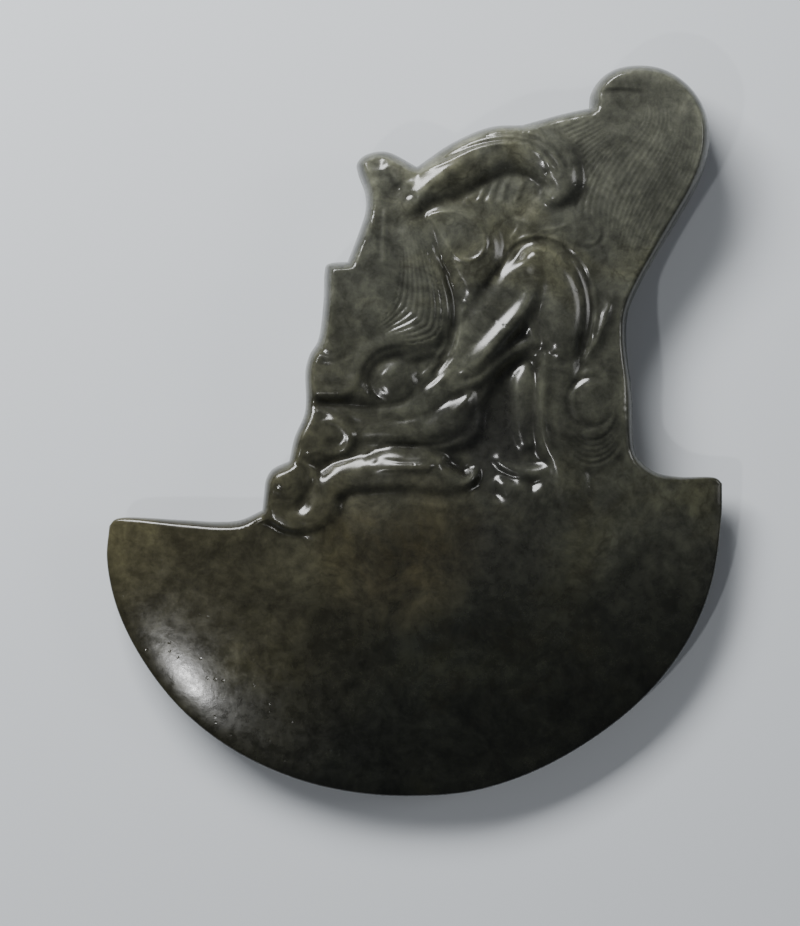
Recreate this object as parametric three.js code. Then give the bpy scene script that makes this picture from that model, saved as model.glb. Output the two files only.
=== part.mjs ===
// Carved jade axe head. A half-moon blade is held in the jaws of a horned beast seen from the
// side, whose mane sweeps up and back to a rolled butt. It is one solid, lying on its back with
// the carved front up: +X runs towards the mane, +Y from the cutting edge to the butt, +Z up.
// Everything is in millimetres, and the origin is under the middle of the outline.
import * as THREE from 'three';
import { ConvexHull } from 'three/addons/math/ConvexHull.js';

// ---------------------------------------------------------------- driving dimensions
const PARTING_HEIGHT = 5.6; // the outline runs round the stone at this height above the ground
const EDGE_HALF = 0.5; // half the thickness left at the cutting edge
const BLADE_HALF = 5.2; // half the thickness of the blade's belly, on the front
const BLADE_BACK_HALF = 5.9; // the same on the back, before it is ground flat
const BLADE_RISE = 35; // the lens of the blade thickens over this distance from its edge
const LENS_POWER = 0.8; // under 1 the lens is fuller near its edge
const HEAD_EXTRA = 0.8; // the head stands this much over the blade on the front
const HEAD_BACK_CUT = 2.0; // and this much under it on the back, so its carving can stand out
const HEAD_FROM = 38; // the head's level starts this far from the cutting edge
const HEAD_RISE = 12;
const BUTT_CUT = 1.2; // the mane thins by this much towards the butt
const BUTT_FROM = 72;
const BUTT_RISE = 40;
const ROLL_SHARE = 0.5; // the rim rounds over this share of the local half thickness
const BACK_SHARE = 0.7; // the back repeats the front's forms at this share of their height

const OUTLINE_STEP = 2.1; // spacing of mesh points along the outline
const FORM_STEP = 1.9; // along the carved forms
const FRONT_FILL = 3.4; // over the plain front
const BACK_FILL = 4.6; // over the plain back
const FORM_GAP = 0.62; // points of carved forms keep this distance from each other
const FILL_GAP = 0.7; // the fill keeps this share of its own spacing from everything else
const SAMPLES_PER_SPAN = 6; // straight steps for each span of a carved form's curve

const JADE = { color: 0x3f4336, roughness: 0.22, metalness: 0 };

// ---------------------------------------------------------------- outline
// Runs of smooth curve that meet at corners, clockwise from the blade's left corner.
const OUTLINE_RUNS = {
  leftShoulder: [[-50.2, -15.6], [-49.4, -14.6], [-48, -14.2], [-38, -14.6], [-32, -14.9],
    [-28.6, -14.6], [-25, -13]],
  snout: [[-25, -13], [-24.7, -10], [-24.4, -7.9], [-23.4, -6.3], [-20.6, -4.9]],
  face: [[-20.6, -4.9], [-19.7, -1], [-18, 3.2], [-17.9, 10.2], [-17.2, 12.6], [-15.9, 14.8], [-15, 21],
    [-14.8, 26], [-14.5, 27.2], [-13.6, 27.6], [-11, 27.8]],
  brow: [[-11, 27.8], [-9.2, 32.5], [-8.1, 36], [-8.1, 38.8], [-9.3, 42.3], [-9.5, 43.8], [-8.6, 45],
    [-6.6, 45.8], [-4.3, 45.8], [0.4, 43.4]],
  horn: [[0.4, 43.4], [6.2, 47.3], [12.5, 49.9], [17.6, 50.2]],
  mane: [[17.6, 50.2], [24.5, 52.1], [28.7, 53]],
  butt: [[28.7, 53], [28.9, 55.2], [30.4, 57.7], [33, 59.4], [37, 60], [41, 59.3], [44.6, 57], [47.2, 53.6],
    [48.4, 49.4], [48.1, 45], [46.4, 40.2], [39.6, 28.6], [36.9, 23.8], [35.1, 19.4], [34.8, 15],
    [35.8, 5], [35.9, -1], [36.3, -3.6], [37.6, -5.4], [40, -6.9], [43.5, -7.5], [49.6, -7.7],
    [50.6, -8.6]],
  cuttingEdge: [[50.6, -8.6], [50.5, -14], [48.9, -25], [45, -34.4], [38.5, -43], [30, -50.1], [20, -55.8],
    [10, -59.1], [0, -60], [-10, -59.4], [-20, -57], [-30, -52.3], [-38.5, -45.6], [-45, -37.2],
    [-49, -28.9], [-50.6, -21], [-50.2, -15.6]],
};

// ---------------------------------------------------------------- curves
function curveThrough(rows, closed = false) {
  return new THREE.CatmullRomCurve3(rows.map(([x, y]) => new THREE.Vector3(x, y, 0)), closed,
    'centripetal');
}

function spacedPoints(rows, step) {
  const curve = curveThrough(rows);
  return curve.getSpacedPoints(Math.max(Math.round(curve.getLength() / step), 1));
}

// Points along rows of [x, y, half width left, half width right, crest], the sizes riding along.
function sampledBand(rows) {
  const path = curveThrough(rows);
  const sizes = new THREE.CatmullRomCurve3(rows.map((row) => new THREE.Vector3(...row.slice(2))), false,
    'catmullrom', 0.5);
  const count = (rows.length - 1) * SAMPLES_PER_SPAN;
  return Array.from({ length: count + 1 }, (_, i) => {
    const share = i / count;
    const size = sizes.getPoint(share);
    return Object.assign(path.getPoint(share), { left: size.x, right: size.y, crest: size.z });
  });
}

function sampledRing(rows) {
  return curveThrough(rows, true).getPoints(rows.length * SAMPLES_PER_SPAN).slice(0, -1);
}

function oval(x, y, halfX, halfY, points = 10) {
  return Array.from({ length: points }, (_, i) => {
    const turn = (i / points) * 2 * Math.PI;
    return [x + halfX * Math.cos(turn), y + halfY * Math.sin(turn)];
  });
}

// The nearest place on a line: its distance, the side the point is on, and where along it is.
function nearestOn(line, x, y, closed = false) {
  const found = { distance: Infinity, left: true, start: line[0], end: line[0], share: 0 };
  const spans = closed ? line.length : line.length - 1;
  for (let i = 0; i < spans; i += 1) {
    const start = line[i];
    const end = line[(i + 1) % line.length];
    const runX = end.x - start.x;
    const runY = end.y - start.y;
    const square = runX * runX + runY * runY;
    const along = ((x - start.x) * runX + (y - start.y) * runY) / Math.max(square, Number.EPSILON);
    const share = THREE.MathUtils.clamp(along, 0, 1);
    const distance = Math.hypot(x - start.x - share * runX, y - start.y - share * runY);
    if (distance < found.distance) {
      const left = runX * (y - start.y) - runY * (x - start.x) >= 0;
      Object.assign(found, { distance, left, start, end, share });
    }
  }
  return found;
}

function isInside(ring, x, y) {
  let inside = false;
  ring.forEach((start, i) => {
    const end = ring[(i + 1) % ring.length];
    const crosses = (start.y > y) !== (end.y > y);
    if (crosses && x < ((end.x - start.x) * (y - start.y)) / (end.y - start.y) + start.x) {
      inside = !inside;
    }
  });
  return inside;
}

// ---------------------------------------------------------------- carved forms
// A form has raise(x, y, z), which gives the height of the stone there when z was its height
// before, and marks, the places where its surface turns, for the mesh to follow.
const FOOT = -0.6; // a form's sides start this far under the ground they stand on
const FOOT_ROWS = [1.12, 0.97]; // rows of marks just outside and just inside a foot
const SLOPE_ROWS = [0.62, 0];
const CAP_TURN = Math.PI / 4; // between the marks round a ridge's two ends

// A ridge along a curve.
function band(rows, { bulge = 2, power = 0.6 } = {}) {
  const line = sampledBand(rows);
  const marks = [];
  const length = curveThrough(rows).getLength();
  const stride = Math.max(Math.round(((line.length - 1) * FORM_STEP) / length), 1);
  for (let i = 0; i < line.length; i += stride) {
    const before = line[Math.max(i - 1, 0)];
    const after = line[Math.min(i + 1, line.length - 1)];
    const across = new THREE.Vector3(before.y - after.y, after.x - before.x, 0).normalize();
    for (const share of [...FOOT_ROWS, ...SLOPE_ROWS]) {
      marks.push(line[i].clone().addScaledVector(across, share * line[i].left));
      marks.push(line[i].clone().addScaledVector(across, -share * line[i].right));
    }
  }
  for (const tip of [line[0], line[line.length - 1]]) {
    const reach = Math.max(tip.left, tip.right);
    for (let turn = 0; turn < 2 * Math.PI; turn += CAP_TURN) {
      const outwards = new THREE.Vector3(Math.cos(turn), Math.sin(turn), 0);
      marks.push(...FOOT_ROWS.map((share) => tip.clone().addScaledVector(outwards, share * reach)));
    }
  }
  const raise = (x, y, z) => {
    const { distance, left, start, end, share } = nearestOn(line, x, y);
    const size = (name) => THREE.MathUtils.lerp(start[name], end[name], share);
    const across = distance / (left ? size('left') : size('right'));
    const top = FOOT + (size('crest') - FOOT) * Math.max(1 - across ** bulge, 0) ** power;
    return across < 1 ? Math.max(z, top) : z;
  };
  return { raise, marks };
}

// A raised shape inside a closed curve: its border rises over the distance rim to its height,
// and its middle swells by dome over that.
function lobe(rows, { height, rim, dome = 0, domeReach = 6 }) {
  const ring = sampledRing(rows);
  const raise = (x, y, z) => {
    if (!isInside(ring, x, y)) {
      return z;
    }
    const { distance } = nearestOn(ring, x, y, true);
    const slope = Math.sqrt(1 - (1 - Math.min(distance / rim, 1)) ** 2);
    const swell = dome * THREE.MathUtils.smoothstep(distance, 0, domeReach);
    return Math.max(z, FOOT + (height - FOOT) * slope + swell);
  };
  return { raise, marks: ringMarks(rows, [-0.12, 0.12, 0.35 * rim, 0.9 * rim]) };
}

// A hollow inside a closed curve, sunk by depth over the distance rim.
function hollow(rows, { depth, rim }) {
  const ring = sampledRing(rows);
  const raise = (x, y, z) => {
    const { distance } = nearestOn(ring, x, y, true);
    return isInside(ring, x, y) ? z - depth * THREE.MathUtils.smoothstep(distance, 0, rim) : z;
  };
  return { raise, marks: ringMarks(rows, [0, rim]) };
}

// Points along a closed curve, moved inwards by each of the offsets.
function ringMarks(rows, offsets) {
  const curve = curveThrough(rows, true);
  const count = Math.max(Math.round(curve.getLength() / FORM_STEP), 6);
  const ring = curve.getSpacedPoints(count).slice(0, -1);
  const turnsLeft = THREE.ShapeUtils.area(ring) > 0 ? 1 : -1;
  const marks = [];
  ring.forEach((point, i) => {
    const before = ring[(i + count - 1) % count];
    const after = ring[(i + 1) % count];
    const inwards = new THREE.Vector3(before.y - after.y, after.x - before.x, 0).normalize();
    for (const offset of offsets) {
      const mark = point.clone().addScaledVector(inwards, turnsLeft * offset);
      if (nearestOn(ring, mark.x, mark.y, true).distance > 0.8 * Math.abs(offset)) {
        marks.push(mark);
      }
    }
  });
  return marks;
}

// ---------------------------------------------------------------- the beast, from its lowest forms up
const faceMass = lobe([[-24, 4.6], [-13, 5], [-9, 4.2], [-5.5, 4], [-2.6, 4.8], [1.9, 9.2], [3.6, 12.6],
  [4.9, 19.2], [4, 23.4], [2.2, 28], [0.6, 33], [-3, 41], [-14, 44], [-24, 30]],
    { height: 1.6, rim: 3.2, dome: 0.6 });
const cheek = lobe([[-14, 4.8], [-8, 3.9], [-2.6, 4.6], [1.5, 8.5], [4.2, 14], [5, 19.5], [2.4, 28.5],
  [5, 30],
  [9, 26], [11, 22], [16, 17], [15, 13], [9.5, 6], [9, 1], [4.5, -1.2], [-3, -1.5], [-7, -0.8], [-10, 1.5]],
{ height: 0.9, rim: 2.5 });
const nose = lobe([[-24, 3.5], [-16, 4.2], [-12.2, 2.6], [-10.2, 0.8], [-9.5, -1.2], [-10.2, -3.1],
  [-13, -4.6],
  [-24, -6]], { height: 1.8, rim: 2.2, dome: 0.5 });
const upperLip = band([[-10, -1, 1.5, 1.5, 0.8], [-6, -0.6, 1.8, 1.3, 1], [-1, -0.4, 2.4, 1.5, 1.5],
  [2.2, 0.2, 2.2, 1.9, 1.3]]);
const lipCorner = band([[0.8, -0.3, 1.5, 1.4, 1.2], [3.5, 0.7, 2.2, 2, 1.4], [5.8, 2, 2.2, 2.4, 1.8],
  [7.4, 3.8, 1.2, 2, 1.9], [8.4, 5.6, 0.5, 0.7, 1.2]]);
const gum = band([[-16.5, -14.5, 2, 2.2, 1.2], [-14.6, -10.8, 2.4, 2.4, 1.7], [-12, -8.2, 2.8, 2, 1.9],
  [-8.4, -6.9, 2.5, 3, 1.7], [-4, -6.6, 3.4, 3.1, 1.8], [0, -6.9, 3.2, 2.9, 1.7],
    [3.2, -7.6, 2.4, 2.8, 1.3]]);
const smallTooth = band([[3.4, -6.9, 1.6, 2.2, 1.1], [6.2, -7.2, 2.2, 2.8, 1.5], [8.6, -7, 1.6, 2, 1.3],
  [9.8, -6.2, 0.8, 1, 0.9]]);
const snoutCurl = lobe([[-28, -10], [-27, -14.4], [-24, -14.9], [-21.5, -16.3], [-18.4, -16.9],
  [-15.6, -16.4],
  [-13.2, -14.7], [-12, -12.6], [-13, -9], [-16, -6.4], [-18.5, -4.6], [-22, -4], [-28, -5]],
{ height: 1.5, rim: 2 });
const snoutHollow = hollow([[-18.8, -6], [-16.6, -7.4], [-15.9, -9.6], [-16.4, -12], [-18.2, -13.6],
  [-20.8, -13],
  [-21.5, -11.4], [-18.6, -9.5]], { depth: 0.9, rim: 1.6 });
const snoutBead = lobe(oval(-21, -8, 2.5, 2.35), { height: 2.2, rim: 1.6 });
const eyeSocket = hollow([[-8.4, 8.2], [-7.6, 10.8], [-5.6, 12.8], [-2.4, 13.6], [3.4, 13.4], [2.2, 9.8],
  [0, 7], [-2.8, 5], [-5.6, 4.3], [-7.4, 5.4]], { depth: 1.5, rim: 1.3 });
const eyeball = lobe(oval(-3.2, 8.2, 3.4, 3.1), { height: 2, rim: 2.8 });
const browRidge = band([[-1.8, 37, 1.2, 1.2, 1.8], [-0.6, 32, 1.7, 1.3, 2.1], [1, 27, 2.2, 1.3, 2.4],
  [2.6, 22.5, 2.6, 1.3, 2.6], [3, 18.5, 2.8, 1.4, 2.7], [1.8, 15.6, 2.4, 1.3, 2.5], [-1, 14.6, 2, 1, 2.3],
  [-4.6, 14.2, 1.6, 1, 2], [-7.4, 12.6, 1.4, 1, 1.7], [-9.2, 9.8, 1.4, 0.9, 1.6]]);
const ear = lobe([[1.2, 35.6], [3, 37.2], [6.5, 37], [10.5, 35.6], [13, 33], [13.9, 29.6], [13.3, 26],
  [11.8, 23.2], [9.8, 20.8], [8.3, 21.6], [7, 23.6], [4.8, 26.2], [2.6, 30], [1.2, 33]],
{ height: 1.9, rim: 3, dome: 0.5 });
const jawMuscle = band([[18.8, 27.6, 2, 2.2, 2.4], [17.4, 24.6, 4.4, 3.6, 3], [15, 20.6, 4.2, 2.4, 3],
  [12.4, 16.8, 4, 2.2, 2.8], [9.8, 12.8, 3.8, 2.2, 2.4], [6.4, 9.2, 3.2, 2, 1.9], [2, 5.6, 3, 2, 1.5],
  [-3, 2.8, 2.2, 2, 1.2], [-8, 2, 1.5, 1.5, 0.9]], { bulge: 1.8, power: 0.8 });
const lowerJaw = band([[27, -11, 1.6, 2, 0.5], [25.6, -8.4, 2, 3.2, 0.9], [23.6, -4, 1.6, 3, 1.2],
  [22.6, 1, 1.6, 3, 1.4], [22.8, 6, 1.8, 3, 1.5], [23.6, 11.5, 3, 3.6, 1.9], [24.2, 16, 3.9, 4.2, 2.3],
  [24.4, 20.6, 4.2, 4.6, 2.6], [23.2, 24.6, 4, 4.4, 2.7], [20, 26.6, 3.2, 3.2, 2.6]]);
const horn = band([[-4.4, 36.5, 1.4, 1.4, 1.4], [-2, 40, 2.4, 2.6, 2.4], [2.4, 42.2, 2.6, 3.8, 2.8],
  [7, 44.6, 3.6, 3.6, 3], [11.4, 46.8, 3.8, 3.2, 3.1], [15.6, 47.4, 3.6, 2.8, 3.1],
    [19.6, 46.8, 3.4, 2.7, 3],
  [22.6, 45, 3.4, 2.6, 3], [24.3, 42.2, 3.2, 2.4, 3], [24.1, 39.8, 3, 2.4, 2.8],
    [23.2, 38.8, 1.8, 2, 2.4]]);
const forelock = band([[-7.6, 43.8, 2.4, 2.4, 1.8], [-4.6, 43.6, 2.6, 3, 2.2], [-1.6, 42.3, 1.4, 2.4, 2.2],
  [1.2, 42, 0.8, 1.5, 1.8]]);
const jawCurl = lobe(oval(28.8, 3.2, 5.6, 7.6, 12), { height: 1.5, rim: 4 });
const jawBead = lobe(oval(28.7, 4.8, 2.95, 3.1), { height: 2.6, rim: 2.4 });
const fang = band([[18.1, 10.2, 0.8, 0.8, 0.2], [18.1, 8, 2, 2, 1.2], [18, 4.5, 2.3, 2.3, 1.3],
  [18, 0.5, 2.3, 2.3, 1.1], [18, -3.5, 3.4, 3.6, 1.3], [18.2, -5.4, 2.2, 2.4, 1.1]]);

const FRONT_FORMS = [faceMass, cheek, nose, upperLip, lipCorner, gum, smallTooth, snoutCurl, snoutHollow,
  snoutBead, eyeSocket, eyeball, browRidge, ear, jawMuscle, lowerJaw, horn, forelock, jawCurl, jawBead,
    fang];
const BACK_FORMS = [faceMass, nose, gum, snoutCurl, eyeSocket, eyeball, ear, jawMuscle, lowerJaw, horn,
  jawCurl];

// ---------------------------------------------------------------- the stone's two faces
const outline = Object.values(OUTLINE_RUNS).flatMap((run) => spacedPoints(run, OUTLINE_STEP).slice(0, -1));
const cuttingEdge = spacedPoints(OUTLINE_RUNS.cuttingEdge, OUTLINE_STEP);

// Half the stone's thickness where nothing is carved, from how far the cutting edge is.
function plainHalf(x, y, bladeHalf, headStep) {
  const { distance } = nearestOn(cuttingEdge, x, y);
  const toBelly = 1 - Math.min(distance / BLADE_RISE, 1);
  const lens = EDGE_HALF + (bladeHalf - EDGE_HALF) * (1 - toBelly ** 2) ** LENS_POWER;
  const head = headStep * THREE.MathUtils.smoothstep(distance, HEAD_FROM, HEAD_FROM + HEAD_RISE);
  return lens + head - BUTT_CUT * THREE.MathUtils.smoothstep(distance, BUTT_FROM, BUTT_FROM + BUTT_RISE);
}

// How far the rim has risen, from 0 at the outline to 1 where its rounding ends.
function rimRise(x, y, half) {
  const { distance } = nearestOn(outline, x, y, true);
  return Math.sqrt(1 - (1 - Math.min(distance / (ROLL_SHARE * half), 1)) ** 2);
}

function carvedHeight(forms, x, y) {
  return forms.reduce((height, form) => form.raise(x, y, height), 0);
}

function frontHeight(x, y) {
  const half = plainHalf(x, y, BLADE_HALF, HEAD_EXTRA);
  return PARTING_HEIGHT + rimRise(x, y, half) * (half + carvedHeight(FRONT_FORMS, x, y));
}

// The back's highest places are ground flat, and the stone lies on them.
function backHeight(x, y) {
  const half = plainHalf(x, y, BLADE_BACK_HALF, -HEAD_BACK_CUT);
  const depth = half + BACK_SHARE * carvedHeight(BACK_FORMS, x, y);
  return PARTING_HEIGHT - rimRise(x, y, half) * Math.min(depth, PARTING_HEIGHT);
}

// ---------------------------------------------------------------- mesh
const RIM_ROWS = [0.35, 1.4, 3]; // rows of points this far inside the outline
const SAFE_SHARE = 0.8; // a row's point that ends up nearer the outline than this share is left out

// Keeps the candidates that are inside the outline and no nearer than gap to those kept before.
function keepApart(kept, candidates, gap, fromOutline) {
  for (const point of candidates) {
    const clear = kept.every((other) => Math.hypot(point.x - other.x, point.y - other.y) >= gap);
    if (clear && isInside(outline, point.x, point.y)) {
      const { distance } = nearestOn(outline, point.x, point.y, true);
      if (distance >= fromOutline) {
        kept.push(point);
      }
    }
  }
}

function rimRow(inset) {
  return outline.map((point, i) => {
    const before = outline[(i + outline.length - 1) % outline.length];
    const after = outline[(i + 1) % outline.length];
    const inwards = new THREE.Vector3(after.y - before.y, before.x - after.x, 0).normalize();
    return point.clone().addScaledVector(inwards, inset);
  });
}

// Staggered rows of points over the whole outline's box.
function fillPoints(step) {
  const box = new THREE.Box3().setFromPoints(outline);
  const points = [];
  const rowStep = step * Math.sin(Math.PI / 3);
  for (let row = 0; box.min.y + row * rowStep < box.max.y; row += 1) {
    for (let x = box.min.x + (row % 2) * 0.5 * step; x < box.max.x; x += step) {
      points.push(new THREE.Vector3(x, box.min.y + row * rowStep, 0));
    }
  }
  return points;
}

// Delaunay triangles: the underside of the convex hull of the points lifted onto a round bowl.
function triangulate(points) {
  const lifted = points.map(({ x, y }) => new THREE.Vector3(x, y, x * x + y * y));
  const indexOf = new Map(lifted.map((point, i) => [point, i]));
  const { faces } = new ConvexHull().setFromPoints(lifted);
  return faces.filter((face) => face.normal.z < 0).map((face) => {
    const corners = [face.getEdge(0), face.getEdge(1), face.getEdge(2)];
    const [a, b, c] = corners.map((corner) => indexOf.get(corner.head().point));
    return [a, c, b];
  });
}

// Triangles within the outline. A chord between two outline points would pinch the front and
// back together, so each gets a point at its middle until none is left.
function facesWithin(points) {
  for (;;) {
    const faces = triangulate(points).filter((face) => {
      const middle = face.reduce((sum, i) => sum.add(points[i]), new THREE.Vector3()).divideScalar(3);
      return isInside(outline, middle.x, middle.y);
    });
    const rim = outline.length;
    const chords = new Map();
    for (const face of faces) {
      face.forEach((a, i) => {
        const b = face[(i + 1) % 3];
        const apart = Math.abs(a - b);
        if (a < rim && b < rim && apart > 1 && apart < rim - 1) {
          chords.set(`${Math.min(a, b)} ${Math.max(a, b)}`, [a, b]);
        }
      });
    }
    if (chords.size === 0) {
      return faces;
    }
    for (const [a, b] of chords.values()) {
      points.push(points[a].clone().lerp(points[b], 0.5));
    }
  }
}

function sidePoints(forms, fillStep) {
  const points = outline.map((point) => point.clone());
  for (const inset of RIM_ROWS) {
    keepApart(points, rimRow(inset), SAFE_SHARE * inset, SAFE_SHARE * inset);
  }
  for (const form of forms) {
    keepApart(points, form.marks, FORM_GAP, RIM_ROWS[0]);
  }
  keepApart(points, fillPoints(fillStep), FILL_GAP * fillStep, RIM_ROWS[1]);
  return points;
}

function axeHeadGeometry() {
  const front = sidePoints(FRONT_FORMS, FRONT_FILL);
  const frontFaces = facesWithin(front);
  const back = sidePoints(BACK_FORMS, BACK_FILL);
  const backFaces = facesWithin(back);
  const rim = outline.length;
  const positions = [];
  front.forEach(({ x, y }, i) => positions.push(x, y, i < rim ? PARTING_HEIGHT : frontHeight(x, y)));
  back.slice(rim).forEach(({ x, y }) => positions.push(x, y, backHeight(x, y)));
  const backIndex = (i) => (i < rim ? i : i - rim + front.length);
  const index = [...frontFaces.flat(), ...backFaces.flatMap(([a, b, c]) => [a, c, b].map(backIndex))];
  const geometry = new THREE.BufferGeometry();
  geometry.setAttribute('position', new THREE.Float32BufferAttribute(positions, 3));
  geometry.setIndex(index);
  geometry.computeVertexNormals();
  return geometry;
}

const axeHead = new THREE.Mesh(axeHeadGeometry(), new THREE.MeshStandardMaterial(JADE));
axeHead.name = 'axe_head';

const model = new THREE.Group();
model.name = 'jade_axe_head';
model.add(axeHead);

export default model;
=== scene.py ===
"""Carved jade axe head: a half-moon blade in the jaws of a horned beast, lying on its back.

The carving is one closed mesh. Its front and back are height fields over the outline: a lens for
the blade, a thicker head, and carved forms that are ridges, lobes, hollows and cut lines along
curves. Lengths in the carving are millimetres, and SCALE takes them to metres.
"""

import math

import bpy
import numpy as np
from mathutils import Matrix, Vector
from mathutils.geometry import delaunay_2d_cdt


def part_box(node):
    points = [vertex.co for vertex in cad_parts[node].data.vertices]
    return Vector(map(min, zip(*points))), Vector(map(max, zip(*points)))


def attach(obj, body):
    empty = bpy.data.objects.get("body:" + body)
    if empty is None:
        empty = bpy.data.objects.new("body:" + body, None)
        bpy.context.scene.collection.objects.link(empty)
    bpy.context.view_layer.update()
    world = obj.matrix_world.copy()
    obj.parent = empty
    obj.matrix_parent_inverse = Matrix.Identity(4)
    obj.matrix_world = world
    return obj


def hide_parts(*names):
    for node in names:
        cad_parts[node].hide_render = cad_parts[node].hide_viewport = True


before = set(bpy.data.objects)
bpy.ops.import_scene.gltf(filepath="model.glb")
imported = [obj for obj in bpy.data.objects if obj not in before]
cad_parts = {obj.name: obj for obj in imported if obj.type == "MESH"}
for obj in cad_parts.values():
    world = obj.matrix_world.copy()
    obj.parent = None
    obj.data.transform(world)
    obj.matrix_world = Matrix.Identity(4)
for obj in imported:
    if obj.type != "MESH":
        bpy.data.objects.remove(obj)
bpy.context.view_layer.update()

SCALE = 0.001

# ---------------------------------------------------------------- driving dimensions, millimetres
PARTING_HEIGHT = 5.6     # the outline runs round the stone at this height above the ground
EDGE_HALF = 0.5          # half the thickness left at the cutting edge
BLADE_HALF = 5.2         # half the thickness of the blade's belly, on the front
BLADE_BACK_HALF = 5.9    # the same on the back, before it is ground flat
BLADE_RISE = 35.0        # the lens of the blade thickens over this distance from its edge
LENS_POWER = 0.8         # under 1 the lens is fuller near its edge
HEAD_EXTRA = 1.2         # the head stands this much over the blade on the front
HEAD_BACK_CUT = 2.0      # and this much under it on the back, so its carving can stand out
HEAD_FROM, HEAD_RISE = 38.0, 12.0   # it starts this far from the cutting edge, over this distance
BUTT_CUT, BUTT_FROM, BUTT_RISE = 1.2, 72.0, 40.0   # the butt is this much thinner, and comes in the same way
ROLL_SHARE = 0.28        # the rim rounds over this share of the local half thickness
FRONT_SHARE = 0.74       # the carver's strokes stand at this share of their drawn height on the front
BACK_SHARE = 0.6         # and the back repeats the larger ones at this share

OUTLINE_STEP = 0.36      # mesh spacing along the outline
CARVED_STEP = 0.26       # over the carved front
PLAIN_STEP = 0.85        # over the plain blade, and outside the carved area of the back
BACK_STEP = 0.62         # over the back
RIM_ROWS = (0.05, 0.2, 0.5, 0.95, 1.5)   # rows of points this far inside the outline
MERGE_GAP = 1e-7         # mesh points nearer than this would be one
SHADE_PASSES = 24        # rounds of smoothing that tell the hollows and ridges from the rest, for their painted shade and painted light
RIM_SHADE_FROM, RIM_SHADE_RISE = 0.8, 2.0   # the hollows' painted shade and the ridges' painted light start this far from the outline, over this
FORM_WEAR = 0.48         # the large forms are worn smooth over this distance
LINE_WEAR = 0.14         # and the lines cut into them over this one
FINEST_PITCH, PITCH_FADE = 0.35, 0.3   # hair lines fade away where they run closer together than this

# Runs of smooth curve that meet at corners, clockwise from the blade's left corner.
LEFT_SHOULDER = [(-50.2, -15.6), (-49.4, -14.6), (-48, -14.2), (-38, -14.6), (-32, -14.9), (-28.6, -14.6),
                 (-25, -13)]
SNOUT = [(-25, -13), (-24.7, -10), (-24.4, -7.9), (-23.4, -6.3), (-20.6, -4.9)]
FACE = [(-20.6, -4.9), (-19.7, -1), (-18, 3.2), (-17.9, 10.2), (-17.2, 12.6), (-15.9, 14.8), (-15, 21),
        (-14.8, 26), (-14.5, 27.2), (-13.6, 27.6), (-11, 27.8)]
BROW = [(-11, 27.8), (-9.2, 32.5), (-8.1, 36), (-8.1, 38.8), (-9.3, 42.3), (-9.5, 43.8), (-8.6, 45),
        (-6.6, 45.8), (-4.3, 45.8), (0.4, 43.4)]
HORN_BACK = [(0.4, 43.4), (6.2, 47.3), (12.5, 49.9), (17.6, 50.2)]
MANE_TOP = [(17.6, 50.2), (24.5, 52.1), (28.7, 53)]
BUTT = [(28.7, 53), (28.9, 55.2), (30.4, 57.7), (33, 59.4), (37, 60), (41, 59.3), (44.6, 57), (47.2, 53.6),
        (48.4, 49.4), (48.1, 45), (46.4, 40.2), (39.6, 28.6), (36.9, 23.8), (35.1, 19.4), (34.8, 15),
        (35.8, 5), (35.9, -1), (36.3, -3.6), (37.6, -5.4), (40, -6.9), (43.5, -7.5), (49.6, -7.7),
        (50.6, -8.6)]
CUTTING_EDGE = [(50.6, -8.6), (50.5, -14), (48.9, -25), (45, -34.4), (38.5, -43), (30, -50.1), (20, -55.8),
                (10, -59.1), (0, -60), (-10, -59.4), (-20, -57), (-30, -52.3), (-38.5, -45.6), (-45, -37.2),
                (-49, -28.9), (-50.6, -21), (-50.2, -15.6)]
OUTLINE_RUNS = [LEFT_SHOULDER, SNOUT, FACE, BROW, HORN_BACK, MANE_TOP, BUTT, CUTTING_EDGE]


# ---------------------------------------------------------------- curves
def spline(points, closed=False, per_span=8):
    """A smooth curve through rows of numbers: the first two are x and y, and the rest ride along."""
    p = np.array(points, float)
    if closed:
        ring = np.vstack([p[-1], p, p[0], p[1]])
    else:
        ring = np.vstack([2 * p[0] - p[1], p, 2 * p[-1] - p[-2]])
    share = np.linspace(0, 1, per_span, endpoint=False)[:, None]
    made = []
    for a, b, c, d in zip(ring[:-3], ring[1:-2], ring[2:-1], ring[3:]):
        before, span, after = (max(np.hypot(*(q - r)[:2]) ** 0.5, 1e-6) for q, r in ((b, a), (c, b), (d, c)))
        start = ((b - a) / before - (c - a) / (before + span) + (c - b) / span) * span
        end = ((c - b) / span - (d - b) / (span + after) + (d - c) / after) * span
        cubic = 2 * b - 2 * c + start + end
        square = -3 * b + 3 * c - 2 * start - end
        made.append(cubic * share**3 + square * share**2 + start * share + b)
    if not closed:
        made.append(p[-1:])
    return np.vstack(made)


def spaced(points, step):
    """Points at even distances along the smooth curve through points."""
    line = spline(points, per_span=24)
    length = np.r_[0, np.cumsum(np.hypot(*np.diff(line, axis=0).T))]
    places = np.linspace(0, length[-1], max(round(length[-1] / step), 1) + 1)
    return np.column_stack([np.interp(places, length, line[:, 0]), np.interp(places, length, line[:, 1])])


def oval(x, y, half_x, half_y, count=12):
    """Points round an oval."""
    turns = np.linspace(0, 2 * math.pi, count, endpoint=False)
    return [(x + half_x * math.cos(turn), y + half_y * math.sin(turn)) for turn in turns]


def arc(x, y, half_x, half_y, start, end, count=9):
    """Part of an oval, from one angle to another in degrees."""
    turns = np.radians(np.linspace(start, end, count))
    return [(x + half_x * math.cos(turn), y + half_y * math.sin(turn)) for turn in turns]


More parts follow.
